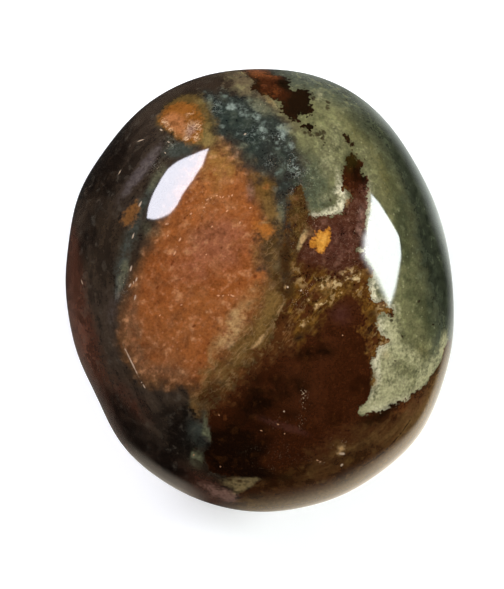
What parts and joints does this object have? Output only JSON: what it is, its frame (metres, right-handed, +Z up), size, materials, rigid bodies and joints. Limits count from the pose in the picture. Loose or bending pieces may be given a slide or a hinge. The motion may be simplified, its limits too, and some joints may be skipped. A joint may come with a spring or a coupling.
{
  "type": "polished stone pebble",
  "caption": "Palm-sized polished jasper pebble: one rounded, slightly lopsided oval stone that rests on a small flat spot on its belly.",
  "frame": {"origin": "on the ground, in the plane of the flat spot, under the middle of the outline's box", "axes": "+Z up through the best face, +Y along the stone's length, +X across it"},
  "size_m": [0.065, 0.0738, 0.0398],
  "materials": {
    "polished_jasper": "mirror-polished polychrome jasper: brick-orange, chocolate, sage green, slate and ochre"
  },
  "bodies": {
    "root": {"pebble": "polished_jasper"}
  },
  "joints": []
}
